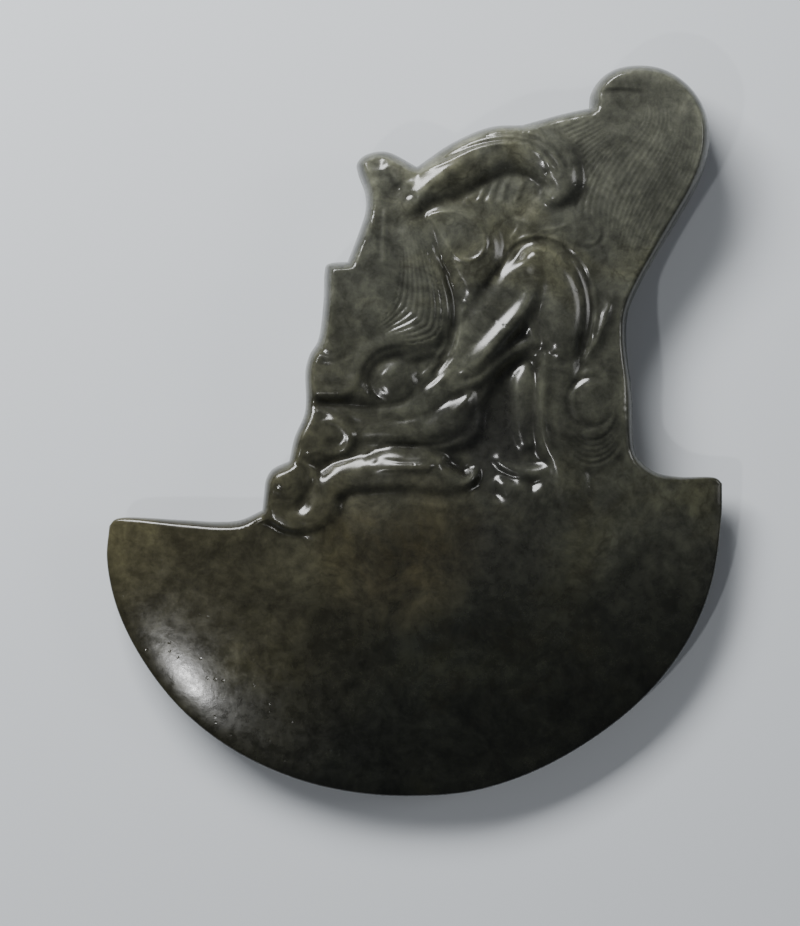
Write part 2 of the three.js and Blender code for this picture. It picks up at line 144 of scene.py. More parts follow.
def nearest(xy, line, closed=False):
    """Each point's distance to the line, its side (1 left, -1 right), the line's numbers there, and how
    far along the line that is, from 0 to 1."""
    if closed:
        line = np.vstack([line, line[0]])
    start, end = line[:-1], line[1:]
    run = (end - start)[:, :2]
    square = np.maximum((run * run).sum(1), 1e-12)
    best = np.full(len(xy), np.inf)
    share = np.zeros(len(xy))
    side = np.ones(len(xy))
    index = np.zeros(len(xy), int)
    for i, (ax, ay) in enumerate(start[:, :2]):
        px = xy[:, 0] - ax
        py = xy[:, 1] - ay
        along = np.clip((px * run[i, 0] + py * run[i, 1]) / square[i], 0, 1)
        gap = (px - along * run[i, 0]) ** 2 + (py - along * run[i, 1]) ** 2
        near = gap < best
        best[near] = gap[near]
        share[near] = along[near]
        index[near] = i
        side[near] = np.where(run[i, 0] * py[near] - run[i, 1] * px[near] >= 0, 1.0, -1.0)
    values = start[index] + (end - start)[index] * share[:, None]
    return np.sqrt(best), side, values, (index + share) / len(start)


def inside(xy, ring):
    """Which points lie in a closed ring."""
    x, y = xy[:, 0], xy[:, 1]
    within = np.zeros(len(xy), bool)
    for (x0, y0), (x1, y1) in zip(ring[:, :2], np.roll(ring[:, :2], -1, axis=0)):
        if y0 != y1:
            within ^= ((y0 > y) != (y1 > y)) & (x < (x1 - x0) * (y - y0) / (y1 - y0) + x0)
    return within


def smooth(share):
    """0 up to 0, 1 from 1 on, and a soft step between."""
    share = np.clip(share, 0, 1)
    return share * share * (3 - 2 * share)


def mean_of_neighbours(values, faces):
    """Each mesh point's mean over the points it shares an edge with."""
    start = np.concatenate([faces[:, 0], faces[:, 1], faces[:, 2]])
    end = np.concatenate([faces[:, 1], faces[:, 2], faces[:, 0]])
    return np.bincount(start, values[end], len(values)) / np.maximum(np.bincount(start,
                                                                                 minlength=len(values)), 1)


def scatter(number):
    """A fixed number from 0 to 1 for each whole number."""
    return np.modf(np.abs(np.sin(number * 12.9898 + 4.1) * 43758.5453))[0]


# ---------------------------------------------------------------- the carver's strokes
class Relief:
    """Heights of the carving over a mesh's points. Bands, lobes, cuts and folds go where their points say."""

    def __init__(self, xy, faces, step):
        self.xy = np.asarray(xy, float)
        self.faces = faces
        self.step = step
        self.height = np.zeros(len(xy))

    def near(self, line, reach):
        """The numbers of the points in a box round the line."""
        low = line[:, :2].min(0) - reach
        high = line[:, :2].max(0) + reach
        return np.flatnonzero(((self.xy >= low) & (self.xy <= high)).all(1))

    def raise_to(self, k, top, soft):
        """The higher of the stone and the new form, with a fillet where they meet."""
        fillet = np.maximum(soft - np.abs(self.height[k] - top), 0) / soft
        self.height[k] = np.maximum(self.height[k], top) + fillet * fillet * soft * 0.25

    def band(self, points, foot=-0.5, moat=0.2, moat_width=1.0, bulge=2.0, power=0.7, soft=0.35):
        """A ridge along a curve. Rows: x, y, half width left, half width right, crest height."""
        line = spline(points)
        k = self.near(line, line[:, 2:4].max() + 2 * moat_width)
        if not len(k):
            return
        gap, side, sizes, _ = nearest(self.xy[k], line)
        width = np.maximum(np.where(side > 0, sizes[:, 2], sizes[:, 3]), 0.05)
        across = gap / width
        outside = np.maximum(gap - width, 0) / moat_width
        self.height[k] -= moat * np.exp(-2 * outside * outside) * np.minimum(across, 1) ** 4
        top = foot + (sizes[:, 4] - foot) * np.maximum(1 - across**bulge, 0) ** power
        on = across < 1
        self.raise_to(k[on], top[on], soft)

    def lobe(self, points, height, rim, foot=-0.5, moat=0.2, moat_width=1.0, dome=0.0, soft=0.35):
        """A raised shape in a closed curve: its border rises over rim, then swells by dome."""
        ring = spline(points, True)
        k = self.near(ring, 2 * moat_width)
        if not len(k):
            return
        gap = nearest(self.xy[k], ring, True)[0]
        within = inside(self.xy[k], ring)
        outside = gap / moat_width
        self.height[k] -= np.where(within, 0, moat * np.exp(-2 * outside * outside))
        gap, k = gap[within], k[within]
        if len(k):
            slope = np.sqrt(1 - (1 - np.minimum(gap / rim, 1)) ** 2)
            top = foot + (height - foot) * slope + dome * smooth(gap / max(gap.max(), 1e-6))
            self.raise_to(k, top, soft)

    def hollow(self, points, depth, rim):
        """Sinks the inside of a closed curve."""
        ring = spline(points, True)
        k = self.near(ring, 0)
        k = k[inside(self.xy[k], ring)]
        if len(k):
            gap = nearest(self.xy[k], ring, True)[0]
            self.height[k] -= depth * smooth(gap / rim)

    def swell(self, points, height, rim):
        """Lifts the inside of a closed curve softly, keeping what is carved on it."""
        self.hollow(points, -height, rim)

    def cut(self, points, width, depth, fade=0.2):
        """A cut line, fading at both ends. Rows: x, y."""
        line = spline(points)
        k = self.near(line, 2.5 * width)
        if not len(k):
            return
        gap, _, _, along = nearest(self.xy[k], line)
        ends = smooth(np.minimum(along, 1 - along) / fade)
        self.height[k] -= depth * ends * np.exp(-((gap / width) ** 2))

    def fold(self, points, width, height, fade=0.2):
        """A soft raised line."""
        self.cut(points, width, -height, fade)

    def strands(self, first, last, count, depth, sharp=0.7, fade=0.1, clear_of=None):
        """Hair lines that fill the strip between two curves, and leave the ring clear_of alone. They
        differ in depth and in where they start and end."""
        one, two = spline(first), spline(last)
        ring = np.vstack([one[:, :2], two[::-1, :2]])
        k = self.near(ring, 0)
        k = k[inside(self.xy[k], ring)]
        if clear_of:
            k = k[~inside(self.xy[k], spline(clear_of, True))]
        if not len(k):
            return
        gap_one, _, _, along_one = nearest(self.xy[k], one)
        gap_two, _, _, along_two = nearest(self.xy[k], two)
        share = gap_one / np.maximum(gap_one + gap_two, 1e-9)
        along = along_one * (1 - share) + along_two * share
        line = np.round(count * share)
        start = smooth((along - 0.5 * fade * scatter(line)) / fade)
        end = smooth((1 - along - 0.5 * fade * scatter(line + 31)) / fade)
        lane = 1 - np.abs(np.sin(math.pi * count * share)) ** sharp
        pitch = (gap_one + gap_two) / count
        lane = lane * smooth((pitch - FINEST_PITCH) / PITCH_FADE)
        uneven = 0.55 + 0.45 * scatter(line + 7)
        self.height[k] -= depth * uneven * start * end * lane

    def polish(self, reach):
        """Wears the carving smooth over about this distance."""
        for _ in range(max(round((2 * reach / self.step) ** 2), 1)):
            self.height = 0.5 * (self.height + mean_of_neighbours(self.height, self.faces))


# ---------------------------------------------------------------- the beast's large forms, from the lowest up
def form_butt(r):
    """The rolled tip of the butt, over a crease."""
    r.band([(29.4, 56, 1.4, 0.7, 0.6), (31.4, 57.2, 2, 1.7, 0.9), (34.4, 57.9, 2.2, 2.4, 0.95),
            (38, 57.4, 2.6, 2.4, 0.6), (41.6, 55.4, 2.6, 2.4, 0.1)],
           foot=-0.2, moat=0.12, moat_width=0.8, bulge=2.4, soft=0.5)


def form_hollows(r):
    """Sunk ground, on the front only."""
    # between horn and ear
    r.hollow([(2, 38), (6, 40), (9, 43), (14, 44.6), (18, 44.2), (21, 42.4), (21.4, 39), (19.6, 35),
              (18.4, 31), (21, 30.6), (27, 31.6), (28.4, 29.4), (25, 28.4), (15.4, 27), (13.6, 31),
              (12.6, 35), (8, 37.4)], 0.7, 2.4)
    # inside of the mouth, between lip, gum and jaw
    r.hollow([(3, -2), (9, -1), (10.4, 4.6), (12.5, 8.6), (15.4, 12.4), (19.5, 12.8), (21.2, 10), (21, 3),
              (20.9, -2), (22.6, -6), (20, -10), (14, -12), (9.5, -10.4), (3.5, -5), (-3, -3.2), (-10, -3.6),
              (-9, -2), (-3, -1.9)], 1.7, 1.9)


def form_face(r):
    r.lobe([(-24, 5), (-16.4, 4.9), (-11, 4.7), (-7, 4.3), (-3.4, 4.5), (-0.4, 6.4), (2.2, 10), (4.2, 14.6),
            (4.9, 19.4), (4.2, 23.6), (2.6, 27.6), (1.4, 32), (0.4, 36), (-2, 41), (-14, 46), (-24, 30)],
           1.5, 4.2, moat=0.15, moat_width=1.5, dome=0.5)
    # forehead, standing a step over the brow above it
    r.lobe([(-20, 27.5), (-14.4, 27.3), (-11, 26.5), (-8, 25.3), (-5, 24.3), (-3.4, 21), (-3.6, 17.6),
            (-6.6, 15.2), (-10, 14), (-13, 12), (-20, 11)],
           2.1, 3.0, foot=1.2, moat=0.25, moat_width=0.9, dome=0.2, soft=0.6)
    # brow ridge, from the forelock down and round over the eye
    r.band([(-2, 38, 2.4, 1.6, 1.8), (-1.2, 33, 3, 2.2, 2), (0, 28, 3.6, 2.7, 2.2),
            (1.2, 23.4, 4.4, 3.2, 2.35), (1.3, 19.2, 4.8, 3.2, 2.4), (0.2, 16.6, 4.4, 2.8, 2.35),
            (-2.4, 15.6, 3.4, 2, 2.2), (-5.4, 14.4, 2.8, 1.8, 2), (-7.8, 12.2, 2.4, 1.6, 1.85),
            (-9.6, 9.2, 2.2, 1.5, 1.7)], foot=0.4, moat=0.1, soft=0.7)
    r.lobe(oval(-13.7, 13.7, 2.6, 2.6), 2.35, 2.6, foot=1.4, moat=0.1, moat_width=0.7, soft=0.3)
    r.band([(-18, 6.4, 1.6, 1.4, 1.5), (-14, 6.2, 1.6, 1.3, 1.85), (-11.4, 6.4, 1.4, 1.3, 1.85),
            (-9.6, 7.6, 1.1, 1.1, 1.6)], foot=0.4, moat=0.1, soft=0.5)


def form_eye(r):
    r.hollow([(-9.2, 8), (-8.2, 10.6), (-6.2, 12.7), (-3, 13.7), (1, 13.8), (3.8, 13.4), (2.9, 10.6),
              (0.8, 7.2), (-2.2, 4.9), (-5.4, 4), (-8.2, 5.2)], 1.7, 2.2)
    r.lobe(oval(-3.2, 8.2, 3.8, 3.6), 1.0, 3.0, moat=0.15, moat_width=0.6, dome=0.15, soft=0.25)
    r.band([(-1.4, 11.9, 0.9, 0.8, 0.4), (1, 12.5, 1.2, 1, 0.9), (3.2, 12.9, 0.7, 0.7, 0.9)],
           moat=0.1, moat_width=0.5, foot=-0.3, soft=0.2)


def form_cheek(r):
    """Low ground from the snout up between the face and the jaw."""
    r.lobe([(-14, 4.6), (-8, 3.6), (-2.6, 4.2), (1.9, 8.3), (4.8, 13.6), (5.6, 19), (3.6, 27), (5, 30),
            (9, 26), (11, 22), (16, 17), (15, 13), (9.5, 6), (8.6, 1), (4.5, -1.4), (-3, -1.6), (-7, -1),
            (-10, 1)], 0.3, 2.8, moat=0.0, soft=0.6)


def form_snout(r):
    r.lobe([(-24, 3.7), (-16, 4.2), (-12.6, 3), (-10.6, 1.2), (-9.6, -1.2), (-10.4, -3.2), (-13, -4.6),
            (-24, -6)], 1.4, 3.0, foot=0.0, moat=0.1, dome=0.4, soft=0.6)
    r.hollow(oval(-13.2, -2.3, 2.4, 1.6), 0.7, 1.4)
    r.band([(-13.6, 2, 1, 0.9, 1.6), (-11.6, 0.8, 1, 1.1, 1.9), (-10.4, -1.2, 0.9, 1.1, 1.7),
            (-11.4, -3.4, 0.7, 0.8, 1.2)], foot=0.4, moat=0.1, moat_width=0.6, soft=0.4)


def form_lips(r):
    r.band([(-10, -0.4, 1.4, 1.4, 0.1), (-6, -0.3, 1.8, 1.2, 0.4), (-2, -0.4, 2.4, 1.4, 0.8),
            (1.4, -0.1, 2.4, 1.9, 0.9), (3.4, 0.4, 1.6, 1.7, 0.6)], soft=0.5)
    r.band([(2.4, -0.2, 1.3, 1.2, 0.6), (4.2, 0.9, 2.4, 2.4, 0.9), (6.2, 2.3, 2.8, 3.1, 1.15),
            (7.8, 4.1, 1.8, 2.6, 1.15), (9.2, 6.2, 0.6, 0.9, 0.8)], moat=0.25, soft=0.4)


def form_jaw(r):
    """The muscle. Its flat face slopes from the jaw's hinge to the lip, with a keel along its lower side."""
    r.band([(19.6, 27.8, 2, 2.4, 1.7), (19, 25.2, 2.6, 4.6, 1.4), (17.9, 22, 2.9, 5.6, 1.2),
            (15.5, 18.9, 3, 5.8, 1.2), (12.8, 15.8, 3, 5.4, 1.1), (10.2, 12.8, 2.8, 4.6, 0.8),
            (7.1, 9.4, 2.4, 3.4, 0.5), (3.6, 6.8, 1.8, 2, 0.1)], moat_width=1.2, bulge=2.6, power=0.6)
    r.band([(19.5, 24.8, 1.2, 1.2, 1.5), (18.9, 21.9, 1.7, 2, 2.3), (16.8, 18.5, 1.8, 2.4, 3.1),
            (14.1, 15.3, 1.8, 2.6, 3.2), (11.7, 12.4, 1.6, 2.5, 2.8), (9.3, 10, 1.4, 2, 1.6)],
           foot=1.0, moat=0.0, bulge=1.1, power=1.0, soft=0.4)
    # its lower edge, a fold over the corner of the mouth
    r.band([(18.6, 14.2, 1.1, 0.9, 0.7), (16.4, 13.3, 1.2, 1, 1), (13.6, 11.2, 1.3, 1.1, 1.1),
            (10.8, 8.6, 1.2, 1.1, 1), (8.2, 7.3, 1, 1, 0.8), (5.4, 6.4, 0.8, 0.9, 0.5)],
           moat_width=0.7, soft=0.3)


def form_lower_jaw(r):
    """The broad lobe from the hinge, and the lower panel that runs down from it beside the teeth."""
    r.band([(26.8, -12.4, 2.4, 1.6, 0.1), (26, -9.6, 3.4, 3, 0.5), (24.8, -5.6, 2.8, 3.4, 0.6),
            (23.9, -1, 2.6, 3.4, 0.7), (23.6, 5, 2.4, 3, 0.8), (23.8, 10.5, 2.8, 3, 1.1),
            (24, 14.5, 3.2, 3.2, 1.4)], moat=0.3, moat_width=1.1, bulge=3.0, power=0.6, soft=0.3)
    r.lobe([(21.2, 12.8), (20.2, 16), (19.9, 19.6), (19.6, 23), (17.6, 26), (17.4, 28.6), (19.4, 30),
            (22, 29.7), (24.6, 28.2), (26.6, 25.6), (27.8, 22), (27.9, 18), (27.2, 14.4), (26, 12),
            (23.6, 11.4)], 2.3, 3.6, moat_width=0.9, dome=0.25, soft=1.0)
    # the ridge down its inner side, beside the mouth
    r.band([(21.4, 12.4, 0.9, 1, 1.3), (21.2, 8, 0.9, 1.2, 1.2), (20.9, 3, 0.9, 1.2, 1.2),
            (21.1, -0.4, 0.9, 1.2, 1.3), (22.1, -3.2, 0.9, 1.2, 1.1), (23.4, -5.8, 0.8, 1, 0.8),
            (24, -8, 0.5, 0.7, 0.4)], moat=0.1, moat_width=0.7, soft=0.5)
    # a narrow tongue of stone between the two limbs
    r.band([(19.6, 22.4, 0.5, 0.5, 0.8), (19.2, 19.4, 0.9, 0.8, 1), (19.2, 16.6, 1.2, 0.9, 1),
            (19.8, 14.4, 1.1, 0.9, 0.8)], foot=0.2, moat=0.1, moat_width=0.5, soft=0.4)


def form_curl(r):
    """The round curl of hair beside the jaw."""
    r.lobe(oval(29.2, 2, 6.2, 8.6), 0.9, 4.0, moat=0.25, dome=0.3)
    r.lobe(oval(28.6, 4.9, 3.2, 3.3), 1.0, 1.2, foot=0.0, moat=0.35, moat_width=0.7, soft=0.15)
    r.band([(32.1, 22.2, 0.9, 1.2, 0.1), (31.4, 19.4, 1.1, 1.6, 0.6), (30.5, 16.6, 1.1, 1.8, 0.75),
            (29.4, 14, 1, 1.6, 0.7), (28.3, 12, 0.7, 1, 0.4)], moat=0.15, moat_width=0.6, foot=-0.2, soft=0.2)


def form_teeth(r):
    # upper gum, and its small hooked tooth
    r.band([(-16.5, -14.6, 2.2, 2.4, 1), (-14.8, -11, 2.6, 2.6, 1.6), (-12.2, -8.4, 3, 2.2, 1.9),
            (-8.4, -7.2, 2.8, 2.9, 1.6), (-4, -6.6, 3.6, 3.2, 1.5), (0, -6.8, 3.4, 3, 1.4),
            (3.6, -7.6, 2.4, 2.8, 1.2), (7, -8.4, 1.4, 2, 0.7)], moat=0.3, bulge=2.6, power=0.55)
    r.band([(-6.6, -6.2, 2.4, 0.8, 1.8), (-4.6, -6.4, 3.4, 0.9, 2.2), (-1, -6.3, 3.3, 0.9, 2.3),
            (2.4, -6, 2.8, 0.9, 2.2), (3.9, -5.6, 1.6, 0.6, 1.5)],
           foot=-0.1, moat=0.1, bulge=1.15, power=1.0, soft=0.1)
    r.hollow([(4.4, -4.6), (7, -4.2), (9, -5.2), (9.2, -7), (7.2, -7.8), (5.2, -6.8)], 0.8, 1.1)
    r.band([(4, -5, 0.7, 0.9, 0.8), (4.9, -7.2, 0.8, 1, 1.1), (7, -8.6, 0.9, 1, 1.2),
            (9.1, -8, 0.8, 0.9, 1.1), (10, -6.6, 0.5, 0.5, 0.7)], moat=0.1, moat_width=0.5, soft=0.25)
    # the fang, and the small claw under it
    r.band([(18.2, 10.4, 0.8, 0.8, -0.9), (17.9, 8.6, 2, 1.9, -0.3), (17.8, 5, 2.4, 2.3, 0),
            (18, 1.4, 2.4, 2.3, -0.3), (18.4, -1.6, 1.8, 1.8, -0.7)],
           foot=-1.6, moat=0.1, moat_width=0.7, bulge=2.6)
    r.band([(13.6, -4.6, 0.7, 0.8, -0.7), (15.6, -6, 1, 1.1, -0.5), (18.6, -6.9, 1.2, 1.3, -0.2),
            (21, -6.6, 1.2, 1.2, 0), (22.4, -5.6, 0.7, 0.7, 0.2)],
           moat=0.1, moat_width=0.6, foot=-1.2, soft=0.5)
    r.lobe([(13.4, -7.6), (15.4, -8), (18.6, -8.6), (18.8, -10.4), (16.2, -11.8), (14.2, -10.6)],
           -0.25, 2.2, moat=0.1, foot=-0.8)


def form_snout_curl(r):
    r.lobe([(-28, -10), (-27, -14.6), (-24, -15), (-21.5, -16.4), (-18.4, -17), (-15.4, -16.6), (-13, -14.9),
            (-11.8, -12.6), (-13, -9), (-16, -6.4), (-18.5, -4.6), (-22, -4), (-28, -5)],
           1.6, 2.4, moat=0.5, soft=0.5)
    r.hollow([(-18, -6.4), (-15.9, -7.8), (-15.4, -9.8), (-16.2, -12.2), (-18.2, -13.9), (-20.8, -13.6),
              (-21.9, -12), (-19.4, -10.6), (-18, -8.6)], 1.2, 1.7)
    r.lobe(oval(-21.1, -8.1, 2.9, 2.8), 2.0, 1.3, moat=0.3, moat_width=0.6, dome=0.15, soft=0.2)


def form_ear(r):
    r.lobe([(0.8, 35.8), (3, 37.4), (6.5, 37.2), (10.5, 36), (13.2, 33.4), (14.3, 29.8), (13.7, 26),
            (12.2, 23), (10, 20.4), (8.2, 20.8), (6.6, 22.8), (4.4, 25.6), (2.4, 29.4), (1, 33)],
           1.6, 4.0, moat=0.25, moat_width=1.1, dome=0.4)
    r.hollow([(2.4, 34.6), (4, 35.2), (6.4, 35.3), (8.6, 34.5), (10.3, 32.8), (11.2, 30.8), (10.8, 29),
              (9.4, 27.9), (7.6, 28.2), (6.2, 29.6), (4.8, 31.8), (3.4, 33.6)], 0.45, 1.0)


def form_horn(r):
    r.band([(-3.4, 34.8, 1.8, 1.6, 0.8), (-0.6, 37.4, 3.4, 2.4, 1.6), (2.6, 40, 4, 3.8, 2),
            (6.6, 42.9, 4.2, 4.4, 2.3), (10.6, 45.5, 4.2, 4.6, 2.6), (15.2, 46.6, 4.2, 4.4, 2.75),
            (19.2, 45.8, 4.2, 4.2, 2.8), (22, 43.9, 4.4, 3.8, 2.8), (23.6, 41.6, 4, 3.6, 2.6),
            (23.9, 39.7, 3.4, 3.4, 2.3), (23, 38.3, 2.2, 2.4, 1.7)], moat=0.3, moat_width=1.2, power=0.75)
    # the keel that runs up from its root
    r.band([(-1.4, 35.6, 1.4, 1.4, 2.1), (1.4, 38.9, 2.5, 2.2, 3.2), (4.6, 41.6, 2.5, 2.4, 3.3),
            (8.6, 44.2, 1.8, 2, 3.2), (12, 45.8, 1.1, 1.5, 3)],
           foot=1.4, moat=0.0, bulge=1.15, power=1.0, soft=0.4)


def form_forelock(r):
    r.band([(-7.6, 42.2, 2.8, 4, 1.1), (-4.8, 41.6, 4, 5, 1.7), (-2, 40.6, 4, 4.2, 2),
            (0.8, 39.8, 3.2, 2.6, 2)], foot=-1.0, moat=0.1, bulge=1.2, power=1.0, soft=0.6)


# ---------------------------------------------------------------- lines cut into the forms
# The hair of the mane keeps clear of this ring round the horn.
HORN_EDGE = [(0, 34), (6, 38.6), (10, 42), (14, 43), (18, 42.4), (19.8, 40.6), (20.2, 37.6), (22.6, 35.9),
             (25.6, 36.4), (27.6, 39.2), (27.9, 42.8), (26.4, 46.4), (23.4, 49.2), (19.4, 50.6), (14, 51),
             (6, 49), (-2, 44)]


def hair_mane(r):
    outer = [(33.2, 11), (33.9, 16), (35.2, 21), (38, 26), (41.6, 32.2), (45, 38.4), (46.9, 43.5),
             (47.5, 48.5), (46.3, 53), (43.8, 56.4), (40.3, 58.6), (36.6, 59.1), (33.4, 58.3), (31.4, 56.8)]
    middle = [(27.8, 11), (29.6, 15.5), (31.2, 20), (32, 24.5), (32.5, 29), (33.3, 33.5), (35, 38),
              (37.6, 42.6), (40, 46.6), (41.2, 50.4), (40.6, 53.4), (38, 55.3), (35, 55.6), (32, 55.5)]
    inner = [(29.6, 31.5), (28.6, 36), (29.8, 40.5), (32, 44.4), (34.8, 47.6), (37, 50.4), (37.2, 52.8),
             (35, 54.4), (32, 54.8)]
    top = [(15.5, 50), (20, 50.6), (24.5, 51.6), (28.4, 52.4), (30.6, 53.2), (32, 54)]
    r.strands(outer, middle, 12, 0.17)
    r.strands(middle[4:], inner, 6, 0.16)
    r.strands(inner, top, 15, 0.23, clear_of=HORN_EDGE)


def line_mane(r):
    r.cut([(29, 54.4), (30.8, 55.1), (33.5, 55.3), (36.6, 55.1), (38.8, 54.3)], 0.4, 0.14)
    r.fold([(30.4, 55.7), (32.4, 55.8), (35, 55.7), (37, 55.4)], 0.34, 0.2)
    # a curl and a tuft between the horn and the jaw
    r.cut(arc(28.2, 32.1, 2.5, 2.4, -150, 40), 0.35, 0.2)
    r.fold(arc(28.3, 32.2, 1.8, 1.7, -140, 40), 0.3, 0.12)
    r.fold([(19.6, 32.3), (21.5, 32.7), (23.4, 33), (25.8, 33.9)], 0.32, 0.24)
    r.strands([(20.4, 36.2), (23.5, 35.6), (26.4, 36), (28.4, 38.4)],
              [(20, 33.4), (23.4, 33.8), (26.6, 33.4), (29.6, 34)], 4, 0.12)


def line_horn_hollow(r):
    for x, reach in ((8.8, 1.4), (10.6, 2.8), (12.3, 3.7), (14.2, 4.2), (16.6, 3.6)):
        r.fold([(x - 0.9, 36.8), (x, 37.8), (x + 0.4, 37 + 0.6 * reach), (x + 1.6, 37.8 + reach)],
               0.36, 0.2, fade=0.3)
        r.cut([(x + 0.1, 36.9), (x + 0.8, 37.9), (x + 1.2, 37 + 0.6 * reach), (x + 2.2, 37.4 + reach)],
              0.34, 0.14, fade=0.3)
    r.fold([(15.9, 34.6), (16.9, 34.2), (16.8, 32.8), (15.9, 31.4), (15.6, 30)], 0.4, 0.26)
    r.fold([(17.4, 34.6), (18.2, 33.6), (19.4, 33)], 0.35, 0.14)


def hair_brow(r):
    """Hair of the brow, from the forelock down and round towards the eye."""
    outer = [(0.4, 36.4), (1.2, 32), (2.6, 27.6), (4, 23.2), (4.5, 19), (3.6, 15.6), (0.8, 14.4), (-3, 14.2)]
    inner = [(-3, 36.6), (-2.6, 32), (-2.3, 27), (-2.6, 24), (-3.2, 21.4), (-4.2, 19.4), (-5.4, 18.2),
             (-6.8, 17.4)]
    r.strands(outer, inner, 8, 0.34)


def line_face(r):
    r.fold([(1.9, 33), (3.1, 28.4), (4.8, 23.6), (5.6, 19), (5.3, 15.6), (4.2, 12.4), (2.4, 9.2), (0.2, 7)],
           0.34, 0.2, fade=0.15)
    r.cut([(2.6, 34), (3.9, 29.6), (5.8, 24.2), (6.7, 19.2), (6.3, 15.2), (5, 11.6), (2.8, 8.2), (0.2, 5.8)],
          0.8, 0.55, fade=0.15)
    r.fold([(4.6, 13.8), (3, 11), (0.8, 8.2)], 0.3, 0.2)
    # streaks of the brow above the forehead
    r.fold([(-6.9, 37), (-6.9, 33.6), (-6.5, 30.4), (-6.2, 27.6)], 0.6, 0.3)
    r.fold([(-4.6, 37.6), (-4.9, 33.2), (-5.1, 29.6), (-4.8, 26.4)], 0.5, 0.36)
    r.cut([(-8.6, 34.6), (-8.2, 31.6), (-7.8, 28.4)], 0.6, 0.15)
    r.fold([(-14, 26.9), (-11.4, 26.4), (-9, 25.7), (-6.8, 25)], 0.4, 0.16)
    r.cut(oval(-13.8, 13.7, 1.4, 1.3, 14), 0.3, 0.1, fade=0.01)
    r.cut([(-12.8, 11.4), (-11, 12), (-9.8, 14), (-9.4, 16.4)], 0.5, 0.16)
    r.cut([(-11.6, 8.8), (-10.2, 11.2), (-9, 14.2), (-8.2, 17.2)], 0.4, 0.1)


def line_eye(r):
    r.cut(arc(-3.2, 8.3, 2.5, 2.3, 110, 250), 0.3, 0.12)
    r.fold(arc(-3.2, 8.3, 3.7, 3.4, 150, 240), 0.26, 0.1)
    r.cut([(-8.6, 6.2), (-8.2, 9.6), (-6.4, 12.2), (-3, 13.5), (1.2, 13.6)], 0.55, 0.3)


def line_cheek(r):
    r.fold([(8.8, 21.2), (7.7, 18.6), (7.3, 15.8), (6.7, 13.6), (5.6, 12)], 0.3, 0.22)
    for shift in (0, 1.1, 2.2, 3.3):
        r.cut([(7.4 - 0.3 * shift, 10.4 + shift), (4.8 - 0.5 * shift, 7.8 + shift),
               (1.6 - 0.7 * shift, 6.0 + 0.7 * shift)], 0.4, 0.13)
    r.cut([(-15.8, 4.6), (-12, 4.1), (-8, 3.9), (-4.4, 4), (-1.6, 4.8), (0.8, 6.8)], 0.5, 0.14)
    r.cut([(-6, 1.6), (-2, 1.8), (1.4, 2.6), (4.6, 4.4), (6.6, 6.2)], 0.4, 0.14)


def line_snout(r):
    r.fold([(-15.4, 1.2), (-14, 1.6), (-12.8, 1.5)], 0.4, 0.2)
    r.fold([(-17.6, -3.8), (-16.4, -3.4), (-15.2, -3.4)], 0.4, 0.22)
    # the curl in front of the nose
    r.cut(oval(-21.2, -8.2, 1.6, 1.5, 14), 0.28, 0.16, fade=0.01)
    r.cut(arc(-20.6, -8.8, 3.8, 3.6, -10, 75), 0.3, 0.2)
    r.fold(arc(-20.4, -8.8, 4.6, 4.2, -20, 70), 0.35, 0.2)
    r.fold([(-23.6, -14), (-22.2, -15.1), (-20.4, -15.8), (-18, -15.9)], 0.45, 0.2)
    r.cut([(-22.8, -10.7), (-21.2, -11.3), (-19.6, -11.1)], 0.3, 0.2)


def line_mouth(r):
    # facets along the upper gum
    r.fold([(-14.2, -6), (-12, -5.6), (-9.6, -4.8), (-8, -4.5)], 0.5, 0.22)
    r.cut([(-6, -4.4), (-3, -5), (0.5, -5.1), (3, -4.6)], 0.3, 0.16)
    r.cut([(-6.4, -6.9), (-3, -6.7), (0, -6.8), (1.8, -7.6)], 0.3, 0.12)
    r.cut([(-7.6, -3.2), (-6.9, -4.2), (-6.4, -5.4)], 0.7, 0.3)
    r.cut([(3.9, -3.8), (3.2, -5.6), (2, -7.4), (0.4, -8.8)], 0.45, 0.16)
    r.cut([(-6, -2), (-2, -2.4), (2, -2.4), (5.4, -1.9), (8, -0.6)], 0.4, 0.3)
    # the lip's fold, and facets of the claw
    r.fold([(5.8, 2.9), (7.4, 3.9), (8.3, 4.8), (8.7, 6)], 0.35, 0.16)
    r.fold([(14.2, -8.2), (14.6, -9.6), (15.6, -10.8)], 0.4, 0.1)
    r.fold([(16.6, -7.8), (17.2, -8.6), (18, -9)], 0.4, 0.1)


def line_jaw(r):
    # two lines round the hinge, then folds and small dents
    r.cut([(13.2, 24.6), (14.7, 27.6), (16.4, 29.9), (19.2, 31), (22.3, 30.6), (25.2, 29), (27.5, 26.2),
           (28.7, 22.4), (28.8, 18), (28, 14), (26.8, 11.2)], 0.34, 0.22, fade=0.1)
    r.fold([(14, 27.6), (16, 30.4), (19.2, 31.7), (22.6, 31.3), (25.7, 29.6), (28.2, 26.6), (29.4, 22.4),
            (29.5, 18), (28.8, 14.2), (27.6, 11.4)], 0.3, 0.24, fade=0.1)
    r.cut([(19.6, 22.6), (19.1, 19.6), (19.5, 17), (20.7, 13.8)], 0.4, 0.1)
    r.cut([(12.2, 10.6), (10, 8.8), (7.6, 8.2)], 0.3, 0.14)
    r.cut([(11.2, 22.4), (12.4, 24.6), (14, 27.2)], 0.4, 0.25)
    r.cut([(21.4, 12.9), (22.2, 12.3), (23.4, 12.7)], 0.3, 0.15)
    for x, y in ((14.5, 17), (13, 18.1), (17.6, 22.6), (16.6, 23.6), (24.8, 12.4)):
        r.cut([(x - 0.3, y - 0.15), (x, y), (x + 0.3, y + 0.15)], 0.3, 0.2, fade=0.6)


